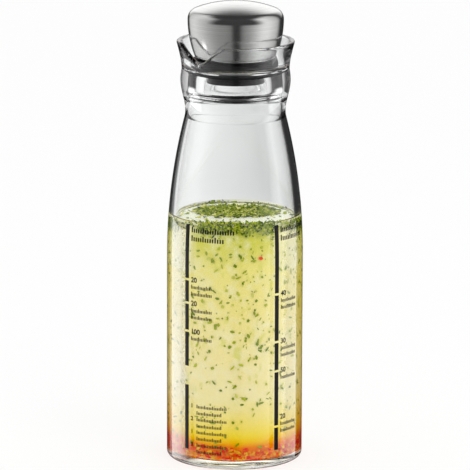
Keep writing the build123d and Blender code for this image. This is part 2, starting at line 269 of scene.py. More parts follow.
# Upright cards round the foot, so low that only the straight glass and the base mirror them, some bright and
# some black: the bearing of each, the height of its top in metres, and its brightness by the distance in
# metres along it towards the camera
CARDS = {
    "left_card": (-111.0, 0.075, [
        (-0.064, 3.2), (-0.035, 4.2), (0.005, 5.4), (0.033, 6.0), (0.069, 4.6), (0.101, 1.5), (0.125, 0.0)]),
    "right_card": (111.0, 0.075, [(-0.043, 0.0), (-0.035, 2.6), (0.101, 2.6), (0.125, 0.0)]),
    "front_flag": (30.0, 0.075, [(-0.094, 0.7), (-0.064, 0.3), (-0.024, 0.05), (0.094, 0.0)]),
    "left_foot_flag": (-42.0, -0.032, [(-0.12, 0.0), (0.2, 0.0)]),
    "right_foot_flag": (45.0, -0.032, [(-0.14, 0.0), (0.2, 0.0)]),
}
CARD_AWAY = 0.2
FOOT_FLAG_AWAY = CARD_AWAY * 0.95
CARD_FOOT = -0.075

# The lamp: its size and aim in metres and its power in watts. The floor: its size and its own glow
KEY_SIZE = 0.8
KEY_POWER = 3.0
KEY_AIM = Vector((0, 0, 0.09))
FLOOR_SIZE = 6.0
FLOOR_GLOW = 0.7

# Camera: its bearing from the part's axis, measured from -Y towards +X, and how steeply it looks down
CAMERA_BEARING = math.radians(42.0)
CAMERA_PITCH = math.radians(12.2)
CAMERA_DISTANCE = 1850.0
CAMERA_AIM_Z = 94.6
CAMERA_ROLL = math.radians(0.2)
FRAME_PIXELS = 470
FOCAL_PIXELS = 4414
SENSOR_WIDTH = 36.0

TOWARDS_CAMERA = Vector((math.sin(CAMERA_BEARING), -math.cos(CAMERA_BEARING), 0))
TO_THE_RIGHT = Vector((math.cos(CAMERA_BEARING), math.sin(CAMERA_BEARING), 0))
KEY_SPOT = TOWARDS_CAMERA * 0.9 + TO_THE_RIGHT * 0.9 + Vector((0, 0, 1.2))


# Profiles: lists of (radius, height) points


def tangent_arc(start, end, direction, steps=10):
    """Points of the arc that leaves start along direction and reaches end, start left out."""
    (x0, y0), (x1, y1) = start, end
    length = math.hypot(*direction)
    tx, ty = direction[0] / length, direction[1] / length
    nx, ny = -ty, tx
    cx, cy = x1 - x0, y1 - y0
    off = cx * nx + cy * ny
    radius = (cx * cx + cy * cy) / (2 * off)
    angle = 2 * math.atan2(off, cx * tx + cy * ty)
    points = []
    for step in range(1, steps + 1):
        turn = angle * step / steps
        along, across = radius * math.sin(turn), radius * (1 - math.cos(turn))
        points.append((x0 + along * tx + across * nx, y0 + along * ty + across * ny))
    return points


def bezier(start, end, leave, arrive, steps=10):
    """Points of the smooth curve from start to end that leaves and arrives along the two directions."""
    reach = math.dist(start, end) / 3
    leave = [reach * part / math.hypot(*leave) for part in leave]
    arrive = [reach * part / math.hypot(*arrive) for part in arrive]
    handle_a = (start[0] + leave[0], start[1] + leave[1])
    handle_b = (end[0] - arrive[0], end[1] - arrive[1])
    points = []
    for step in range(1, steps + 1):
        t = step / steps
        weights = ((1 - t) ** 3, 3 * t * (1 - t) ** 2, 3 * t * t * (1 - t), t**3)
        corners = (start, handle_a, handle_b, end)
        points.append(tuple(sum(w * c[axis] for w, c in zip(weights, corners)) for axis in (0, 1)))
    return points


def straight(start, end, steps):
    """Evenly spaced points of a line, start left out."""
    return [tuple(s + (e - s) * step / steps for s, e in zip(start, end)) for step in range(1, steps + 1)]


def heading(points):
    """Direction in which a list of points ends."""
    return (points[-1][0] - points[-2][0], points[-1][1] - points[-2][1])


UP = (0, 1)
DOWN = (0, -1)
OUTWARD = (1, 0)
INWARD = (-1, 0)


def glass_profile():
    """The bottle's closed section: out along the foot, up the outside, over the rim, down the inside."""
    foot = BODY_RADIUS - HEEL_RADIUS
    punt = foot - FOOT_LAND
    points = [(0, PUNT_DEPTH)]
    points += tangent_arc(points[-1], (punt, 0), OUTWARD, 6)
    points += [(punt + PUNT_EDGE, 0), (foot, 0)]
    points += tangent_arc(points[-1], (BODY_RADIUS, HEEL_RADIUS), OUTWARD, 8)
    points += straight(points[-1], (BODY_RADIUS, STRAIGHT_HEIGHT), 8)
    points += tangent_arc(points[-1], (WAIST_RADIUS, WAIST_Z), UP, 28)
    points += bezier(points[-1], (BEAD_RADIUS, BEAD_Z), heading(points), UP, 16)
    points += tangent_arc(points[-1], (CREASE_RADIUS, CREASE_Z), UP, 8)
    rim_round = COLLAR_WALL * RIM_ROUND_SHARE
    wall_top = RIM_Z - rim_round - RIM_GAP
    collar = bezier(points[-1], (RIM_RADIUS, RIM_Z), UP, (RIM_LEAN, 1), 14)
    points += [p for p in collar if p[1] < wall_top]
    outer = (RIM_RADIUS - RIM_LEAN * rim_round, RIM_Z - rim_round)
    points += [outer]
    points += tangent_arc(outer, (RIM_RADIUS - COLLAR_WALL / 2, RIM_Z), (0.15, 1), 6)
    inner = (RIM_RADIUS - COLLAR_WALL - BOWL_LEAN * rim_round, RIM_Z - rim_round)
    points += tangent_arc(points[-1], inner, INWARD, 6)
    bowl = (RIM_RADIUS - COLLAR_WALL, RIM_Z)
    collar_in = bezier((CREASE_RADIUS - COLLAR_WALL, BOWL_Z), bowl, UP, (BOWL_LEAN, 1), 12)
    points += [p for p in reversed(collar_in) if p[1] < wall_top]
    points += [(CREASE_RADIUS - COLLAR_WALL, BOWL_Z)]
    seat_outer = (CREASE_RADIUS - COLLAR_WALL - BOWL_ROUND, SEAT_TOP_Z)
    seat_inner = (SEAT_INNER_RADIUS, SEAT_BOTTOM_Z)
    seat_way = (seat_inner[0] - seat_outer[0], seat_inner[1] - seat_outer[1])
    points += bezier(points[-1], seat_outer, DOWN, seat_way, 10)
    points += straight(points[-1], seat_inner, 4)
    points += bezier(points[-1], (BORE_RADIUS, BORE_TOP_Z), seat_way, DOWN, 5)
    points += straight(points[-1], (BORE_RADIUS, BORE_BOTTOM_Z), 4)
    points += bezier(points[-1], (NECK_RADIUS, FLARE_Z), DOWN, DOWN, 10)
    inner_shoulder = tangent_arc((BODY_RADIUS - BODY_WALL, STRAIGHT_HEIGHT), (NECK_RADIUS, WAIST_Z), UP, 28)
    inner_shoulder.reverse()
    points += bezier(points[-1], inner_shoulder[0], DOWN, heading(inner_shoulder[1::-1]), 5)[:-1]
    points += inner_shoulder
    points += [(BODY_RADIUS - BODY_WALL, STRAIGHT_HEIGHT)]
    points += straight(points[-1], (BODY_RADIUS - BODY_WALL, FLOOR_Z + FLOOR_FILLET), 8)
    points += tangent_arc(points[-1], (BODY_RADIUS - BODY_WALL - FLOOR_FILLET, FLOOR_Z), DOWN, 8)
    points += straight(points[-1], (0, FLOOR_Z), 6)
    return points


def liquid_profile():
    """The dressing's closed section, from the floor up the glass and back over the surface."""
    wall = BODY_RADIUS - BODY_WALL + LIQUID_LAP
    floor = FLOOR_Z - LIQUID_LAP
    shoulder = tangent_arc((wall, STRAIGHT_HEIGHT), (NECK_RADIUS + LIQUID_LAP, WAIST_Z), UP, 60)
    shoulder = [p for p in shoulder if p[1] < SURFACE_Z + MENISCUS - 0.2]
    edge = (shoulder[-1][0] - 0.02, SURFACE_Z + MENISCUS)
    points = [(0, floor)]
    points += straight(points[-1], (wall - FLOOR_FILLET, floor), 4)
    points += tangent_arc(points[-1], (wall, floor + FLOOR_FILLET), OUTWARD, 8)
    points += straight(points[-1], (wall, STRAIGHT_HEIGHT), 8)
    points += shoulder
    points += [edge]
    points += bezier(edge, (edge[0] - MENISCUS_WIDTH, SURFACE_Z), (-0.2, -1), INWARD, 8)
    points += straight(points[-1], (0, SURFACE_Z), 5)
    return points


def cap_outline(shrink):
    """The steel cap's line from the crown to the hem's foot, drawn in by shrink."""
    dome_z = CAP_TOP_Z - CAP_DOME_RADIUS
    round_x = CAP_RADIUS - CAP_SHOULDER_ROUND
    round_z = dome_z + math.sqrt((CAP_DOME_RADIUS - CAP_SHOULDER_ROUND) ** 2 - round_x**2)
    lean = math.atan2(round_x, round_z - dome_z)
    dome_radius = CAP_DOME_RADIUS - shrink
    dome_end = (dome_radius * math.sin(lean), dome_z + dome_radius * math.cos(lean))
    points = [(0, CAP_TOP_Z - shrink)]
    points += tangent_arc(points[-1], dome_end, OUTWARD, 14)
    points += tangent_arc(dome_end, (CAP_RADIUS - shrink, round_z), (math.cos(lean), -math.sin(lean)), 12)
    hem_z = CAP_FOOT_Z + CAP_HEM_ROUND
    rise = round_z - hem_z
    taper = CAP_RADIUS - CAP_FOOT_RADIUS
    side_radius = (rise**2 + taper**2) / (2 * taper)
    side_end = (CAP_RADIUS - side_radius + math.sqrt((side_radius - shrink) ** 2 - rise**2), hem_z)
    points += tangent_arc(points[-1], side_end, DOWN, 12)
    foot = (side_end[0] - (CAP_HEM_ROUND - shrink), CAP_FOOT_Z + shrink)
    points += bezier(side_end, foot, heading(points), INWARD, 8)
    return points


def cap_profile():
    """The cap's sheet: outside from the crown down, round the hem's lip, and back up the inside."""
    outside = cap_outline(0)
    inside = cap_outline(CAP_SHEET)
    lip = [(CAP_HEM_RADIUS, CAP_FOOT_Z), (CAP_HEM_RADIUS, CAP_FOOT_Z + CAP_SHEET)]
    return outside + lip + inside[::-1]


# Modelling


def deselect():
    """Leaves nothing selected, because an operator acts on all that is."""
    bpy.ops.object.select_all(action="DESELECT")


def finish_mesh(piece, smooth_angle=35.0):
    """Merges doubles, points every face outwards and shades the piece smooth up to an angle."""
    deselect()
    bpy.context.view_layer.objects.active = piece
    piece.select_set(True)
    bpy.ops.object.mode_set(mode="EDIT")
    bpy.ops.mesh.select_all(action="SELECT")
    bpy.ops.mesh.remove_doubles(threshold=MERGE_DISTANCE * MM)
    bpy.ops.mesh.normals_make_consistent(inside=False)
    bpy.ops.object.mode_set(mode="OBJECT")
    bpy.ops.object.shade_smooth_by_angle(angle=math.radians(smooth_angle))
    deselect()
    return piece


def lathe(name, profile, steps=TURN_STEPS, smooth_angle=35.0):
    """Turns a profile about the Z axis. A flat ring of as many points is bent to it and then spun."""
    deselect()
    bpy.ops.mesh.primitive_circle_add(vertices=len(profile), radius=MM)
    piece = bpy.context.object
    piece.name = name
    for vertex, (radius, height) in zip(piece.data.vertices, profile):
        vertex.co = (radius * MM, 0, height * MM)
    bpy.ops.object.mode_set(mode="EDIT")
    bpy.ops.mesh.select_all(action="SELECT")
    mesh = bmesh.from_edit_mesh(piece.data)
    on_axis = [e for e in mesh.edges if max(v.co.x for v in e.verts) < ON_AXIS * MM]
    bmesh.ops.delete(mesh, geom=on_axis, context="EDGES")
    bmesh.update_edit_mesh(piece.data)
    bpy.ops.mesh.spin(steps=steps, angle=math.tau, center=(0, 0, 0), axis=(0, 0, 1))
    bpy.ops.object.mode_set(mode="OBJECT")
    return finish_mesh(piece, smooth_angle)


def notch_height(across):
    """Height of the rim's top at a distance across the notch: a V with a round foot and eased corners."""
    slope = math.atan2(NOTCH_DEPTH, NOTCH_HALF_WIDTH)
    across = abs(across)
    foot_reach = NOTCH_BOTTOM_ROUND * math.sin(slope)
    corner_reach = NOTCH_CORNER_ROUND * math.sin(slope)
    ease = NOTCH_CORNER_ROUND * math.tan(slope / 2)
    corner_start = NOTCH_HALF_WIDTH + ease - corner_reach
    if across < foot_reach:
        lift = NOTCH_BOTTOM_ROUND / math.cos(slope) - math.sqrt(NOTCH_BOTTOM_ROUND**2 - across**2)
        return RIM_Z - NOTCH_DEPTH + lift
    if across < corner_start:
        return RIM_Z - NOTCH_DEPTH + across * math.tan(slope)
    if across < NOTCH_HALF_WIDTH + ease:
        short = NOTCH_HALF_WIDTH + ease - across
        return RIM_Z - NOTCH_CORNER_ROUND + math.sqrt(NOTCH_CORNER_ROUND**2 - short**2)
    return RIM_Z


def flare(height):
    """How far the collar's wall stands outside the crease at a height."""
    top = RIM_Z - CREASE_Z
    spread = RIM_RADIUS - CREASE_RADIUS
    share = max(0.0, height - CREASE_Z) / top
    pull = spread - math.hypot(top, spread) / 3 * math.sin(math.atan(RIM_LEAN))
    return 3 * share**2 * (1 - share) * pull + share**3 * spread


def sink_notch(piece):
    """Draws the collar's wall down at the front, so that the rounded rim follows the notch."""
    for vertex in piece.data.vertices:
        height = vertex.co.z / MM
        if height <= CREASE_Z or vertex.co.y > 0:
            continue
        radius = math.hypot(vertex.co.x, vertex.co.y) / MM
        mid = RIM_RADIUS - COLLAR_WALL / 2
        top = notch_height(mid * vertex.co.x / MM / radius)
        if top >= RIM_Z:
            continue
        if height > RIM_Z - NOTCH_LIP:
            lowered = height - RIM_Z + top
        else:
            reach = RIM_Z - NOTCH_LIP - CREASE_Z
            lowered = CREASE_Z + (height - CREASE_Z) * (top - NOTCH_LIP - CREASE_Z) / reach
        wider = (radius + flare(lowered) - flare(height)) / radius
        vertex.co = (vertex.co.x * wider, vertex.co.y * wider, lowered * MM)


# Materials


def grey(level):
    return (level, level, level)


class Value:
    """An output socket of a node tree. Sums, products and powers of it add Math nodes."""

    def __init__(self, graph, socket):
        self.graph = graph
        self.socket = socket

    def math(self, operation, *values):
        return self.graph.node("ShaderNodeMath", {"operation": operation}, *values)

    def __add__(self, other):
        return self.math("ADD", self, other)

    def __radd__(self, other):
        return self.math("ADD", other, self)

    def __sub__(self, other):
        return self.math("SUBTRACT", self, other)

    def __rsub__(self, other):
        return self.math("SUBTRACT", other, self)

    def __mul__(self, other):
        return self.math("MULTIPLY", self, other)

    def __rmul__(self, other):
        return self.math("MULTIPLY", other, self)

    def __truediv__(self, other):
        return self.math("DIVIDE", self, other)

    def __pow__(self, other):
        return self.math("POWER", self, other)

    def above(self, edge):
        return self.math("GREATER_THAN", self, edge)

    def below(self, edge):
        return self.math("LESS_THAN", self, edge)


class Graph:
    """The nodes of one material or of the world."""

    def __init__(self, tree, output):
        self.tree = tree
        tree.nodes.clear()
        self.output = tree.nodes.new(output)

    def node(self, kind, settings, *inputs, out=0, **named):
        """Adds a node: its settings first, then its sockets by place or by name. Gives one output."""
        node = self.tree.nodes.new(kind)
        for key, value in settings.items():
            setattr(node, key, value)
        sockets = list(zip(node.inputs, inputs))
        sockets += [(node.inputs[key.replace("_", " ")], value) for key, value in named.items()]
        for socket, value in sockets:
            if isinstance(value, Value):
                self.tree.links.new(value.socket, socket)
            elif value is not None:
                socket.default_value = value
        return Value(self, node.outputs[out])

    def ramp(self, fac, stops):
        """A Color Ramp through stops of (place, colour)."""
        node = self.tree.nodes.new("ShaderNodeValToRGB")
        elements = node.color_ramp.elements
        while len(elements) < len(stops):
            elements.new(1.0)
        for element, (place, colour) in zip(elements, stops):
            element.position = place
            element.color = (*colour, 1)
        self.tree.links.new(fac.socket, node.inputs[0])
        return Value(self, node.outputs[0])

    def mask(self, fac, start, end, most=1.0):
        """Nothing up to start, rising to most at end."""
        return self.ramp(fac, [(start, grey(0)), (end, grey(most))])

    def blend(self, fac, first, second):
        """Two colours mixed."""
        node = self.tree.nodes.new("ShaderNodeMix")
        node.data_type = "RGBA"
        for index, value in ((0, fac), (6, first), (7, second)):
            if isinstance(value, Value):
                self.tree.links.new(value.socket, node.inputs[index])
            else:
                node.inputs[index].default_value = value if index == 0 else (*value, 1)
        return Value(self, node.outputs[2])

    def spot(self):
        """The point on the piece, in the part's own frame."""
        return self.node("ShaderNodeTexCoord", {}, out="Object")

    def axis(self, vector, name):
        """One of a vector's X, Y and Z."""
        return self.node("ShaderNodeSeparateXYZ", {}, vector, out=name)

    def along(self, vector, direction):
        """How far a vector reaches along a direction."""
        settings = {"operation": "DOT_PRODUCT"}
        return self.node("ShaderNodeVectorMath", settings, vector, direction, out="Value")

    def light_path(self, name):
        return self.node("ShaderNodeLightPath", {}, out=name)

    def noise(self, scale, detail=3.0, stretch=(1, 1, 1), roughness=0.5):
        """Noise from 0 to 1, scale in ripples per metre."""
        spot = self.node("ShaderNodeMapping", {}, self.spot(), Scale=stretch)
        settings = {"noise_dimensions": "3D"}
        return self.node(
            "ShaderNodeTexNoise", settings, spot, Scale=scale, Detail=detail, Roughness=roughness)

    def bump(self, height, strength, distance):
        """The Normal of a surface with a relief, of which 0 and 1 lie a distance in metres apart."""
        return self.node(
            "ShaderNodeBump", {}, Strength=strength, Distance=distance, Height=height, out="Normal")

    def end(self, shader):
        self.tree.links.new(shader.socket, self.output.inputs["Surface"])


def material(name):
    """A new material and its graph."""
    made = bpy.data.materials.new(name)
    made.use_nodes = True
    return made, Graph(made.node_tree, "ShaderNodeOutputMaterial")


def principled(graph, **sockets):
    return graph.node("ShaderNodeBsdfPrincipled", {}, out="BSDF", **sockets)


def clear_glass():
    """Thick, faintly wavy glass. Seen edge-on beside the dressing it is painted with shade: a grey wash,
    darker on the left than on the right, then a dark ochre rim.
    """
    made, g = material("clear_glass")
    wave = g.noise(70, detail=1.0, stretch=(1, 1, 0.35))
    shader = principled(
        g,
        Base_Color=(0.985, 0.995, 0.99, 1),
        Roughness=0.0,
        IOR=GLASS_IOR,
        Transmission_Weight=1.0,
        Normal=g.bump(wave, 0.25, 0.0004),
    )
    height = g.axis(g.spot(), "Z")
    # Painted shade for the rim beside the dressing: dark ochre, redder towards the foot
    painted_rim_shade = g.ramp(height / (SURFACE_Z * MM), [
        (0.08, (0.45, 0.07, 0.01)),
        (0.17, (0.50, 0.20, 0.05)),
        (0.35, (0.66, 0.52, 0.22)),
        (0.85, (0.62, 0.54, 0.14)),
        (0.97, (0.42, 0.46, 0.06)),
    ])
    right = g.along(g.spot(), TO_THE_RIGHT)
    facing = g.node("ShaderNodeLayerWeight", {}, Blend=0.5, out="Facing")
    # Painted shade for the edge-on band: a grey wash, darker left of the axis than right of it
    painted_side_shade = g.blend(right.above(0.0), (0.36, 0.36, 0.40), (0.64, 0.63, 0.62))
    painted_edge_shade = g.blend(g.mask(facing, 0.57, 0.66), painted_side_shade, painted_rim_shade)
    edge = principled(g, Base_Color=painted_edge_shade, Roughness=0.0, IOR=GLASS_IOR, Transmission_Weight=1.0)
    wet = height.below(SURFACE_Z * MM) * height.above(FLOOR_Z * MM)
    # The painted shade shows only to the camera, where the glass is seen edge-on beside the dressing
    edge_on = g.mask(facing, 0.28, 0.38) * wet * g.light_path("Is Camera Ray")
    g.end(g.node("ShaderNodeMixShader", {}, edge_on, shader, edge))
    return made


def dressing_liquid():
    """The outermost, clearest film of oil and vinegar."""
    made, g = material("dressing_liquid")
    swirl = g.noise(38, detail=2.0)
    colour = g.ramp(swirl, [(0.35, (0.99, 0.975, 0.86)), (0.7, (0.97, 0.965, 0.80))])
    g.end(principled(g, Base_Color=colour, Roughness=0.0, IOR=LIQUID_IOR, Transmission_Weight=1.0))
    return made


def cloudy_dressing():
    """Emulsified oil and vinegar, which light passes only as a glow: green above, golden, orange below."""
    made, g = material("cloudy_dressing")
    drift = g.noise(45, detail=2.0) - 0.5
    right = g.along(g.spot(), TO_THE_RIGHT) / (CLOUD_RADIUS * MM)
    height = g.axis(g.spot(), "Z") / (SURFACE_Z * MM) + drift * 0.07
    height = height - (right - 0.35).math("MAXIMUM", 0.0) * 0.09 * height.below(0.3)
    tone = g.ramp(height, [
        (0.05, (0.98, 0.25, 0.0)),
        (0.075, (0.98, 0.60, 0.0)),
        (0.10, (0.98, 0.76, 0.05)),
        (0.15, (0.98, 0.82, 0.20)),
        (0.24, (0.98, 0.88, 0.45)),
        (0.40, (0.98, 0.87, 0.44)),
        (0.62, (0.98, 0.86, 0.34)),
        (0.82, (0.94, 0.85, 0.27)),
        (0.93, (0.70, 0.69, 0.06)),
        (1.00, (0.34, 0.42, 0.03)),
    ])
    aside = g.mask(right * right, 0.36, 0.5)
    tone = g.blend(aside * height.above(0.8), tone, (0.93, 0.88, 0.46))
    clear_of_floor = g.mask(height, 0.13, 0.32)
    oil = g.noise(170, detail=3.0, roughness=0.6)
    pale = g.blend(g.mask(oil, 0.45, 0.72, 0.6) * clear_of_floor, tone, (0.98, 0.95, 0.68))
    blur = g.noise(260, detail=1.5, stretch=(1, 1, 0.7))
    deep_herbs = g.mask(blur, 0.60, 0.74, 0.5) * clear_of_floor
    side = g.blend(deep_herbs, pale, (0.66, 0.68, 0.08))
    # The top is painted pale, a painted light on the surface, and painted plain grey, a painted shade, where
    # the neck's glass mirrors it
    mirrored = g.light_path("Glossy Depth").above(0.5)
    top = g.blend(mirrored, (0.86, 0.88, 0.62), (0.4, 0.4, 0.41))
    normal = g.node("ShaderNodeTexCoord", {}, out="Normal")
    colour = g.blend(g.axis(normal, "Z").above(0.8), side, top)
    shader = principled(g, Base_Color=colour, Roughness=0.7, IOR=CLOUD_IOR, Specular_IOR_Level=0.0)
    glow = g.node("ShaderNodeBsdfTranslucent", {}, Color=colour)
    g.end(g.node("ShaderNodeMixShader", {}, CLOUD_GLOW, shader, glow))
    return made


def flake(name, colours, roughness=0.45):
    """Chopped leaf or pepper: each scrap has its own tone, read from an attribute, and finer mottling."""
    made, g = material(name)
    tone = g.node("ShaderNodeAttribute", {"attribute_name": "tone"}, out="Fac")
    mottle = g.noise(1400, detail=2.0)
    stops = list(zip((0.0, 0.35, 0.7, 1.0), colours))
    colour = g.ramp(tone + (mottle - 0.5) * 0.35, stops)
    relief = g.bump(mottle, 0.3, 0.0002)
    # What floats is painted plain grey where the neck's glass mirrors it, a painted shade in that reflection
    afloat = g.axis(g.spot(), "Z").above((SURFACE_Z - 1.0) * MM)
    mirrored = g.light_path("Glossy Depth").above(0.5)
    colour = g.blend(afloat * mirrored, colour, (0.3, 0.3, 0.31))
    shader = principled(g, Base_Color=colour, Roughness=roughness, Specular_IOR_Level=0.06, Normal=relief)
    glow = g.node("ShaderNodeBsdfTranslucent", {}, Color=colour)
    g.end(g.node("ShaderNodeMixShader", {}, SCRAP_GLOW, shader, glow))
    return made


def satin_steel():
    """Spun stainless steel: fine rings round the axis, in tone, polish and relief."""
    made, g = material("satin_steel")
    x, y, z = [g.axis(g.spot(), name) for name in "XYZ"]
    radius = (x * x + y * y) ** 0.5
    across = g.node("ShaderNodeCombineXYZ", {}, radius, z, 0.0)
    grain = g.node("ShaderNodeTexNoise", {"noise_dimensions": "3D"}, across, Scale=6500.0, Detail=2.0)
    smudge = g.noise(60, detail=3.0)
    colour = g.ramp(grain, [(0.3, (0.56, 0.56, 0.55)), (0.7, (0.66, 0.66, 0.65))])
    rough = 0.13 + 0.05 * grain + 0.05 * smudge
    rings = g.bump(grain, 0.12, 0.00006)
    g.end(principled(g, Base_Color=colour, Metallic=1.0, Roughness=rough, Normal=rings))
    return made


def dark_moulding(name, colour, roughness, grain_scale):
    """Black plastic or silicone with a fine moulded grain and dusty variation."""
    made, g = material(name)
    grain = g.noise(grain_scale, detail=3.0)
    dust = g.noise(90, detail=4.0)
    lighter = tuple(channel * 1.6 + 0.002 for channel in colour)
    tone = g.blend(g.mask(dust, 0.4, 0.75), colour, lighter)
    rough = roughness + 0.12 * grain
    relief = g.bump(grain, 0.2, 0.00005)
    g.end(principled(g, Base_Color=tone, Roughness=rough, Specular_IOR_Level=0.12, Normal=relief))
    return made


def screw_steel():
    """Turned steel, duller than the cap's."""
    made, g = material("screw_steel")
    grain = g.noise(3000, detail=2.0)
    colour = g.ramp(grain, [(0.3, (0.4, 0.4, 0.4)), (0.7, (0.56, 0.56, 0.55))])
    g.end(principled(g, Base_Color=colour, Metallic=1.0, Roughness=0.3 + 0.1 * grain))
    return made


def printing_ink():
    """Fired black print with a faint grain. Soft light and shadows pass it, so the dressing stays bright."""
    made, g = material("printing_ink")
    grain = g.noise(2600, detail=3.0)
    colour = g.ramp(grain, [(0.3, (0.006, 0.005, 0.006)), (0.8, (0.02, 0.018, 0.02))])
    shader = principled(g, Base_Color=colour, Roughness=0.14 + 0.08 * grain, Specular_IOR_Level=0.1)
    soft = g.light_path("Is Diffuse Ray") + g.light_path("Is Shadow Ray")
    g.end(g.node("ShaderNodeMixShader", {}, soft, shader, g.node("ShaderNodeBsdfTransparent", {})))
    return made


def let_light_in(piece):
    """Soft light and shadows pass this clear piece as if it weren't there."""
    piece.visible_diffuse = False
    piece.visible_shadow = False


def dress(piece, made):
    """Gives a piece its material."""
    piece.data.materials.clear()
    piece.data.materials.append(made)


# Pieces


def glass_bottle(made):
    """The bottle, turned in one piece, with its notch then drawn down in the collar."""
    piece = lathe("bottle_glass", glass_profile())
    sink_notch(piece)
    dress(piece, made)
    let_light_in(piece)
    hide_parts("glass_bottle")
    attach(piece, "bottle")


def dressing(made):
    """The clear outer film of the dressing."""
    piece = lathe("dressing_body", liquid_profile())
    dress(piece, made)
    let_light_in(piece)
    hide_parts("dressing")
    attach(piece, "bottle")


def cloudy_profile():
    """The closed section of the dressing's cloudy heart."""
    wall = CLOUD_RADIUS
    floor = FLOOR_Z + CLOUD_LIFT
    top = SURFACE_Z - CLOUD_HEADROOM
    shoulder = tangent_arc((wall, STRAIGHT_HEIGHT), (wall - CLOUD_TAPER, WAIST_Z), UP, 60)
    shoulder = [p for p in shoulder if p[1] < top - CLOUD_EDGE_DROP]
    points = [(0, floor)]
    points += straight(points[-1], (wall - CLOUD_FOOT_INSET, floor), 4)
    points += tangent_arc(points[-1], (wall, floor + CLOUD_FOOT_RISE), (1, 0.3), 8)
    points += straight(points[-1], (wall, STRAIGHT_HEIGHT), 8)
    points += shoulder
    points += tangent_arc(points[-1], (shoulder[-1][0] - CLOUD_EDGE_INSET, top), UP, 4)
    points += straight(points[-1], (0, top), 5)
    return points


def cloud(made):
    """The cloudy heart, which hides what lies behind it."""
    piece = lathe("dressing_cloud", cloudy_profile(), steps=TURN_STEPS // 2)
    piece.visible_glossy = False
    dress(piece, made)
    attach(piece, "bottle")


def seal_profile():
    """The seal's closed section: flange, the cone pressed into the seat, and the nose in the bore."""
    slope = (SEAT_TOP_Z - SEAT_BOTTOM_Z) / (CREASE_RADIUS - COLLAR_WALL - BOWL_ROUND - SEAT_INNER_RADIUS)
    foot = SEAT_BOTTOM_Z - SEAL_SQUEEZE
    cone = SEAL_RADIUS - SEAL_EDGE_ROUND
    seat_way = (-1, -slope)
    points = [(SEAL_HOLE_RADIUS, CAP_FOOT_Z), (SEAL_RADIUS - SEAL_TOP_ROUND, CAP_FOOT_Z)]
    points += tangent_arc(points[-1], (SEAL_RADIUS, CAP_FOOT_Z - SEAL_TOP_ROUND), OUTWARD, 4)
    points += straight(points[-1], (SEAL_RADIUS, SEAL_FLANGE_Z), 3)
    points += bezier(points[-1], (cone, foot + (cone - SEAT_INNER_RADIUS) * slope), DOWN, seat_way, 6)
    points += straight(points[-1], (SEAT_INNER_RADIUS, foot), 4)
    points += bezier(points[-1], (BORE_RADIUS + SEAL_SQUEEZE, BORE_TOP_Z), seat_way, DOWN, 5)
    points += bezier(points[-1], (SEAL_NOSE_RADIUS, BORE_TOP_Z - SEAL_NOSE_STEP), DOWN, DOWN, 4)
    points += [(SEAL_NOSE_RADIUS, SEAL_NOSE_Z), (SEAL_RECESS_RADIUS, SEAL_NOSE_Z)]
    points += [(SEAL_RECESS_RADIUS, SEAL_RECESS_Z), (SEAL_HOLE_RADIUS, SEAL_RECESS_Z)]
    return points


def seat_seal(made):
    """The seal that sits on the glass below the cap."""
    piece = lathe("silicone_seal", seal_profile())
    dress(piece, made)
    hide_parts("seat_seal")
    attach(piece, "stopper")


def steel_cap(made):
    """The cap's drawn sheet."""
    piece = lathe("steel_cap", cap_profile(), smooth_angle=50.0)
    dress(piece, made)
    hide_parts("cap_shell")
    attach(piece, "stopper")


def fragment(name, corners, length, width, thickness, rng):
    """One torn scrap: a flat plate of a few corners, pulled out of round, curled and thickened."""
    deselect()
    bpy.ops.mesh.primitive_circle_add(vertices=corners, radius=MM / 2, fill_type="NGON")
    piece = bpy.context.object
    piece.name = name
    for vertex in piece.data.vertices:
        pull = rng.uniform(0.7, 1.2)
        curl = (vertex.co.x / MM) ** 2 * rng.uniform(0.1, 0.5)
        vertex.co = (vertex.co.x * length * pull, vertex.co.y * width * pull, curl * MM * 0.5)
    bpy.ops.object.mode_set(mode="EDIT")
    bpy.ops.mesh.select_all(action="SELECT")
    bpy.ops.mesh.extrude_region_move(TRANSFORM_OT_translate={"value": (0, 0, thickness * MM)})
    bpy.ops.mesh.select_all(action="SELECT")
    bpy.ops.mesh.normals_make_consistent(inside=False)
    bpy.ops.object.mode_set(mode="OBJECT")
    return piece


def scatter(name, masters, places, made):
    """Copies of the masters, one at each (matrix, tone), gathered in one piece."""
    for master in masters:
        if "tone" not in master.data.attributes:
            master.data.attributes.new("tone", "FLOAT", "POINT")
    shapes = [[vertex.co.copy() for vertex in master.data.vertices] for master in masters]
    gathered = bmesh.new()
    for number, (matrix, tone) in enumerate(places):
        mesh = masters[number % len(masters)].data
        for vertex, corner in zip(mesh.vertices, shapes[number % len(masters)]):
            vertex.co = matrix @ corner
        mesh.attributes["tone"].data.foreach_set("value", [tone] * len(mesh.vertices))
        gathered.from_mesh(mesh)
    for master, shape in zip(masters, shapes):
        for vertex, corner in zip(master.data.vertices, shape):
            vertex.co = corner
    mesh = bpy.data.meshes.new(name)
    gathered.to_mesh(mesh)
    gathered.free()
    piece = bpy.data.objects.new(name, mesh)
    bpy.context.collection.objects.link(piece)
    piece.visible_glossy = False
    dress(piece, made)
    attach(piece, "bottle")
    return piece


def lying_flat(rng, spot, scale, tip):
    """A scrap's place on a level surface: any turn, tipped by at most an angle either way."""
    tilt = Matrix.Rotation(rng.uniform(-tip, tip), 4, "X")
    tilt = tilt @ Matrix.Rotation(rng.uniform(-tip, tip), 4, "Y")
    turn = Matrix.Rotation(rng.uniform(0, math.tau), 4, "Z")
    return Matrix.Translation(Vector(spot) * MM) @ turn @ tilt @ Matrix.Scale(scale, 4)


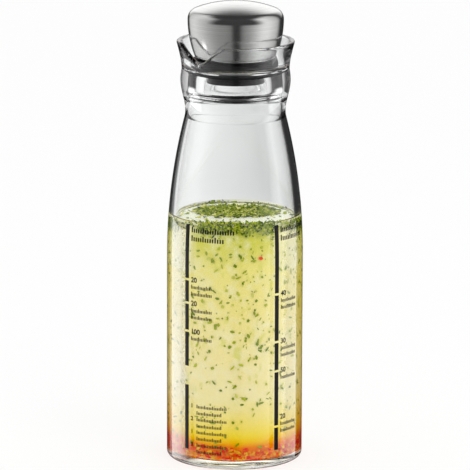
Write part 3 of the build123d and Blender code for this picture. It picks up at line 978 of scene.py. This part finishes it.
def against_wall(rng, spot, bearing, scale, level=math.pi):
    """A scrap's place near the glass: it faces outwards, its length within an angle of level."""
    spin = Matrix.Rotation(math.pi / 2 + rng.uniform(-level, level), 4, "Z")
    lean = Matrix.Rotation(rng.uniform(-0.5, 0.5), 4, "X")
    outward = Matrix.Rotation(bearing, 4, "Z") @ Matrix.Rotation(math.pi / 2, 4, "Y")
    return Matrix.Translation(Vector(spot) * MM) @ outward @ lean @ spin @ Matrix.Scale(scale, 4)


def in_ring(rng, inner, outer):
    """A random spot between two radii."""
    away = math.sqrt(rng.uniform(inner * inner, outer * outer))
    turn = rng.uniform(0, math.tau)
    return away * math.cos(turn), away * math.sin(turn)


def on_circle(away, bearing, height):
    return (away * math.cos(bearing), away * math.sin(bearing), height)


def herb_raft(rng, wall):
    """Herbs afloat, as pairs of place and tone: a raft with a ragged edge, and a few strays."""
    places = []
    while len(places) < RAFT_COUNT:
        x, y = in_ring(rng, 0, wall - SCRAP_GAP)
        spot = Vector((x, y, 0))
        right, back = spot.dot(TO_THE_RIGHT), -spot.dot(TOWARDS_CAMERA)
        far_out = ((right - RAFT_ASIDE) / RAFT_WIDTH) ** 2 + ((back - RAFT_BACK) / RAFT_DEPTH) ** 2
        if far_out > rng.uniform(*RAFT_EDGE) and rng.random() > RAFT_STRAYS:
            continue
        spot = (x, y, SURFACE_Z + rng.uniform(*RAFT_LIFT))
        places.append((lying_flat(rng, spot, rng.uniform(*RAFT_SIZES), 0.5), rng.random() ** 0.85))
    return places


def hanging_herbs(rng, wall):
    """Herbs that hang along the glass from the surface down, as pairs of place and tone."""
    places = []
    for _ in range(HANGING_COUNT):
        bearing = rng.uniform(0, math.tau)
        away = rng.uniform(CLOUD_RADIUS - 0.3, wall + 0.4)
        aside = (bearing - math.atan2(TOWARDS_CAMERA.y, TOWARDS_CAMERA.x) + math.pi) % math.tau - math.pi
        shares = [share for low, high, share in BARE_STRETCHES if low < aside < high]
        if rng.random() > min(shares, default=1.0):
            continue
        top = HANGING_TOP + HANGING_CLIMB * max(0.0, math.cos(aside))
        spot = on_circle(away, bearing, top - min(abs(rng.gauss(0, HANGING_SPREAD)), HANGING_REACH))
        places.append((against_wall(rng, spot, bearing, rng.uniform(*HANGING_SIZES)), rng.random() * 0.85))
    return places


def herb_clump(rng, wall):
    """A clump in front of the top of a bar at the back, whose black end would stand out there."""
    places = []
    for _ in range(CLUMP_COUNT):
        bearing = math.radians(BAR_BEARINGS[3] + rng.gauss(0, CLUMP_SPREAD))
        spot = on_circle(wall, bearing, SURFACE_Z + rng.uniform(*CLUMP_LIFT))
        places.append((against_wall(rng, spot, bearing, rng.uniform(*CLUMP_SIZES)), rng.random() * 0.8))
    return places


def herbs_adrift(rng, wall):
    """Herbs adrift between the glass and the cloudy heart, more of them the higher."""
    places = []
    for _ in range(ADRIFT_COUNT):
        bearing = rng.uniform(0, math.tau)
        away = rng.uniform(CLOUD_RADIUS - 0.1, wall + 0.3)
        height = FLOOR_Z + ADRIFT_LOW + (SURFACE_Z - ADRIFT_HIGH - FLOOR_Z) * rng.random() ** 0.8
        spot = on_circle(away, bearing, height)
        tilted = against_wall(rng, spot, bearing, rng.uniform(*ADRIFT_SIZES))
        places.append((tilted, 0.25 + 0.6 * rng.random()))
    return places


def settled_pepper(rng, wall):
    """Flakes heaped in the bend between the glass and its floor, and flat ones all over the floor."""
    places = []
    for _ in range(HEAP_COUNT):
        bearing = rng.uniform(0, math.tau)
        rise = HEAP_FOOT + HEAP_HEIGHT * rng.random() ** 2.2
        outer = wall + 0.6 - HEAP_BEND * max(0.0, 1 - rise / FLOOR_FILLET) ** 2
        spot = on_circle(rng.uniform(wall - 0.4, outer), bearing, FLOOR_Z + rise)
        places.append((against_wall(rng, spot, bearing, rng.uniform(*HEAP_SIZES), 0.6), rng.random()))
    for _ in range(STREWN_COUNT):
        x, y = in_ring(rng, 0, CLOUD_RADIUS - STREWN_MARGIN)
        spot = (x, y, FLOOR_Z + rng.uniform(*STREWN_RISE))
        places.append((lying_flat(rng, spot, rng.uniform(*STREWN_SIZES), 0.1), rng.random()))
    return places


def herbs_and_pepper(green, red):
    """Chopped herbs afloat and adrift in the dressing, pepper on its floor, and one flake by itself."""
    rng = random.Random(SEED)
    wall = BODY_RADIUS - BODY_WALL - SCRAP_GAP
    leaves = [fragment(name, *form, rng) for name, form in LEAVES.items()]
    afloat = herb_raft(rng, wall) + hanging_herbs(rng, wall) + herb_clump(rng, wall)
    herbs = scatter("floating_herbs", leaves, afloat, green)
    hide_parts("herb_layer")
    scatter("drifting_herbs", leaves, herbs_adrift(rng, wall), green)

    flakes = [fragment(name, *form, rng) for name, form in FLAKES.items()]
    pepper = scatter("pepper_flakes", flakes, settled_pepper(rng, wall), red)
    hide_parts("pepper_layer")
    spot = TO_THE_RIGHT * RED_SCRAP_RIGHT + TOWARDS_CAMERA * RED_SCRAP_NEAR + Vector((0, 0, RED_SCRAP_Z))
    stand = Matrix.Rotation(CAMERA_BEARING, 4, "Z") @ Matrix.Rotation(RED_SCRAP_TILT, 4, "X")
    place = Matrix.Translation(spot * MM) @ stand @ Matrix.Scale(RED_SCRAP_SIZE, 4)
    scatter("red_scrap", flakes[1:2], [(place, 0.2)], red)
    for master in leaves + flakes:
        bpy.data.objects.remove(master)


def glass_radius(height):
    """The glass's outer radius at a height of its straight side or shoulder."""
    rise = max(0.0, height - STRAIGHT_HEIGHT)
    drop = BODY_RADIUS - WAIST_RADIUS
    reach = ((WAIST_Z - STRAIGHT_HEIGHT) ** 2 + drop**2) / (2 * drop)
    return BODY_RADIUS - reach + math.sqrt(reach**2 - rise**2)


def wrap(piece, bearing, start, height):
    """Lays a flat piece, drawn in millimetres, round the glass: start is its distance from a bearing."""
    for vertex in piece.data.vertices:
        across, up, out = vertex.co
        turn = math.radians(bearing) + (start + across) / BODY_RADIUS
        away = glass_radius(height + up) + out + INK_RELIEF
        vertex.co = Vector((away * math.cos(turn), away * math.sin(turn), height + up)) * MM


def digits(words, size):
    """A number as a thin flat solid in millimetres, the middle of its left end at the origin."""
    deselect()
    bpy.ops.object.text_add()
    piece = bpy.context.object
    piece.data.body = words
    piece.data.size = size
    piece.data.extrude = INK_RELIEF
    piece.data.offset = DIGIT_WEIGHT
    piece.data.resolution_u = 3
    piece.data.align_y = "CENTER"
    bpy.ops.object.convert(target="MESH")
    return bpy.context.object


def ruler(count, tall, pitch=TICK_PITCH):
    """A row of fine ticks in millimetres, the first at the origin."""
    deselect()
    bpy.ops.mesh.primitive_plane_add(size=1.0)
    piece = bpy.context.object
    for vertex in piece.data.vertices:
        vertex.co = (vertex.co.x * pitch * TICK_WIDTH_SHARE, vertex.co.y * tall, -INK_RELIEF)
    row = piece.modifiers.new("row", "ARRAY")
    row.count = count
    row.use_relative_offset = False
    row.use_constant_offset = True
    row.constant_offset_displace = (pitch, 0, 0)
    bpy.ops.object.modifier_apply(modifier="row")
    for vertex in piece.data.vertices:
        if vertex.co.y > 0 and round(vertex.co.x / pitch) % TALL_EVERY:
            vertex.co.y = tall * SHORT_SHARE
    bpy.ops.object.mode_set(mode="EDIT")
    bpy.ops.mesh.select_all(action="SELECT")
    bpy.ops.mesh.extrude_region_move(TRANSFORM_OT_translate={"value": (0, 0, 2 * INK_RELIEF)})
    bpy.ops.object.mode_set(mode="OBJECT")
    return piece


def printed_marks(made):
    """Plain numbers and ruler ticks beside the bars, printed on the glass."""
    parts = []

    def add(piece, bearing, start, height):
        wrap(piece, bearing, start, height)
        parts.append(piece)

    for bearing, marks in zip(BAR_BEARINGS, MARKS):
        for height, count in HEAD_RULERS:
            add(ruler(count, HEAD_TICK, HEAD_PITCH), bearing, MARK_START + TICK_START, height)
        for share, words, lines in marks:
            height = BAR_BOTTOM + share * BAR_HEIGHT
            add(digits(words, DIGIT_SIZE), bearing, MARK_START, height)
            for line in range(lines):
                lower = height - (line + 1) * LINE_PITCH
                add(ruler(LINE_TICKS, LINE_TICK), bearing, MARK_START + TICK_START, lower)
    for height, words in LOW_MARKS:
        add(digits(words, DIGIT_SIZE * LOW_SIZE_SHARE), BAR_BEARINGS[0], MARK_START, height)
        for line, count in enumerate(LOW_TICKS):
            lower = height - line * LINE_PITCH * LOW_PITCH_SHARE
            add(ruler(count, LOW_TICK), BAR_BEARINGS[0], LOW_TICKS_START, lower)
    deselect()
    for piece in parts:
        piece.select_set(True)
    bpy.context.view_layer.objects.active = parts[0]
    bpy.ops.object.join()
    piece = bpy.context.object
    piece.name = "printed_marks"
    finish_mesh(piece, smooth_angle=20.0)
    dress(piece, made)
    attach(piece, "bottle")


def dark_pieces():
    """The stopper's parts below the cap, and the print."""
    plastic = dark_moulding("black_plastic", (0.006, 0.006, 0.007), roughness=0.42, grain_scale=900)
    silicone = dark_moulding("black_silicone", (0.005, 0.005, 0.006), roughness=0.5, grain_scale=1500)
    for name in ("cap_core", "stopper_plug", "plug_cover"):
        dress(frame["nodes"][name], plastic)
    seat_seal(silicone)
    dress(frame["nodes"]["screw_washer"], silicone)
    dress(frame["nodes"]["clamp_screw"], screw_steel())
    ink = printing_ink()
    dress(frame["nodes"]["printed_bars"], ink)
    printed_marks(ink)


# Studio


def world():
    """White for the camera and for soft light, greys through glass, softboxes and black cloth to mirror."""
    made = bpy.data.worlds.new("studio")
    bpy.context.scene.world = made
    made.use_nodes = True
    g = Graph(made.node_tree, "ShaderNodeOutputWorld")
    way = g.node("ShaderNodeTexCoord", {}, out="Generated")
    front = g.along(way, TOWARDS_CAMERA)
    side = g.along(way, TO_THE_RIGHT)
    bearing = side.math("ARCTAN2", side, front) / math.tau + 0.5
    rise = g.axis(way, "Z") * 0.5 + 0.5

    def by_bearing(stops):
        return g.ramp(bearing, [(degrees / 360 + 0.5, grey(level)) for degrees, level in stops])

    def by_height(stops):
        return g.ramp(rise, [
            (math.sin(math.radians(degrees)) * 0.5 + 0.5, grey(level)) for degrees, level in stops])

    mirrored = g.blend(
        by_bearing(IS_BEHIND) * by_height(CLEARS_BEHIND), by_bearing(SOFTBOXES), by_height(BEHIND))
    mirrored = g.blend(by_bearing(IS_FRONT) * by_height(CLEARS_FRONT), mirrored, grey(FRONT_LEVEL))
    mirrored = g.blend(by_height(IS_ABOVE), mirrored, by_height(ABOVE))

    direct = g.light_path("Diffuse Depth").below(0.5)
    shiny = g.light_path("Glossy Depth").above(0.5) * direct
    through = g.light_path("Transmission Depth").above(0.5) * direct
    light = g.blend(through, grey(1), by_bearing(THROUGH))
    light = g.blend(shiny, light, mirrored)
    g.end(g.node("ShaderNodeBackground", {}, light, 1.0))


def floor():
    """A white table, which glows a little so that it stays white."""
    deselect()
    bpy.ops.mesh.primitive_plane_add(size=FLOOR_SIZE)
    piece = bpy.context.object
    piece.name = "floor"
    made, g = material("floor")
    spread = principled(g, Base_Color=(0.95, 0.95, 0.95, 1), Roughness=0.9)
    glow = g.node("ShaderNodeEmission", {}, (1, 1, 1, 1), 1.0)
    g.end(g.node("ShaderNodeMixShader", {}, FLOOR_GLOW, spread, glow))
    piece.data.materials.append(made)
    piece.visible_glossy = False
    piece.visible_transmission = False


def card(name, bearing, top, stops):
    """An upright card beside the part, seen only where something shiny mirrors it."""
    turn = math.radians(bearing)
    out = TOWARDS_CAMERA * math.cos(turn) + TO_THE_RIGHT * math.sin(turn)
    along = (TOWARDS_CAMERA - out * out.dot(TOWARDS_CAMERA)).normalized()
    first, last = stops[0][0], stops[-1][0]
    away = CARD_AWAY if top > 0 else FOOT_FLAG_AWAY
    deselect()
    bpy.ops.mesh.primitive_plane_add(size=1.0)
    piece = bpy.context.object
    piece.name = name
    for vertex in piece.data.vertices:
        reach = first + (vertex.co.x + 0.5) * (last - first)
        height = CARD_FOOT + (vertex.co.y + 0.5) * (top - CARD_FOOT)
        vertex.co = out * away + along * reach + Vector((0, 0, height))
    made, g = material(name)
    span = last - first
    levels = [((place - first) / span, grey(level)) for place, level in stops]
    light = g.ramp((g.along(g.spot(), along) - first) / span, levels)
    g.end(g.node("ShaderNodeEmission", {}, light, 1.0))
    piece.data.materials.append(made)
    piece.visible_camera = False
    piece.visible_diffuse = False
    piece.visible_transmission = False
    piece.visible_shadow = False


def key_lamp():
    """A soft lamp above the camera, to its right."""
    light = bpy.data.lights.new("key", "AREA")
    light.size = KEY_SIZE
    light.energy = KEY_POWER
    holder = bpy.data.objects.new("key", light)
    holder.location = KEY_SPOT
    holder.rotation_euler = (KEY_AIM - KEY_SPOT).to_track_quat("-Z", "Y").to_euler()
    holder.visible_glossy = False
    holder.visible_transmission = False
    bpy.context.collection.objects.link(holder)


def camera():
    """The photo's view."""
    lens = bpy.data.cameras.new("camera")
    lens.sensor_width = SENSOR_WIDTH
    lens.lens = SENSOR_WIDTH * FOCAL_PIXELS / FRAME_PIXELS
    lens.clip_start = 0.01
    holder = bpy.data.objects.new("camera", lens)
    back = TOWARDS_CAMERA * math.cos(CAMERA_PITCH) + Vector((0, 0, math.sin(CAMERA_PITCH)))
    holder.location = Vector((0, 0, CAMERA_AIM_Z * MM)) + back * CAMERA_DISTANCE * MM
    roll = Quaternion((0, 0, 1), CAMERA_ROLL)
    holder.rotation_euler = ((-back).to_track_quat("-Z", "Y") @ roll).to_euler()
    bpy.context.collection.objects.link(holder)
    bpy.context.scene.camera = holder


deselect()
glass_bottle(clear_glass())
dressing(dressing_liquid())
cloud(cloudy_dressing())
steel_cap(satin_steel())
herbs_and_pepper(flake("herb_leaf", GREENS), flake("pepper_flake", REDS, roughness=0.35))
dark_pieces()
world()
floor()
for card_name, (card_bearing, card_top, card_stops) in CARDS.items():
    card(card_name, card_bearing, card_top, card_stops)
key_lamp()
camera()

scene = bpy.context.scene
scene.view_settings.view_transform = "Standard"
scene.cycles.max_bounces = 32
scene.cycles.transmission_bounces = 24
scene.cycles.glossy_bounces = 10
scene.cycles.diffuse_bounces = 4
scene.cycles.caustics_reflective = False
scene.cycles.caustics_refractive = True
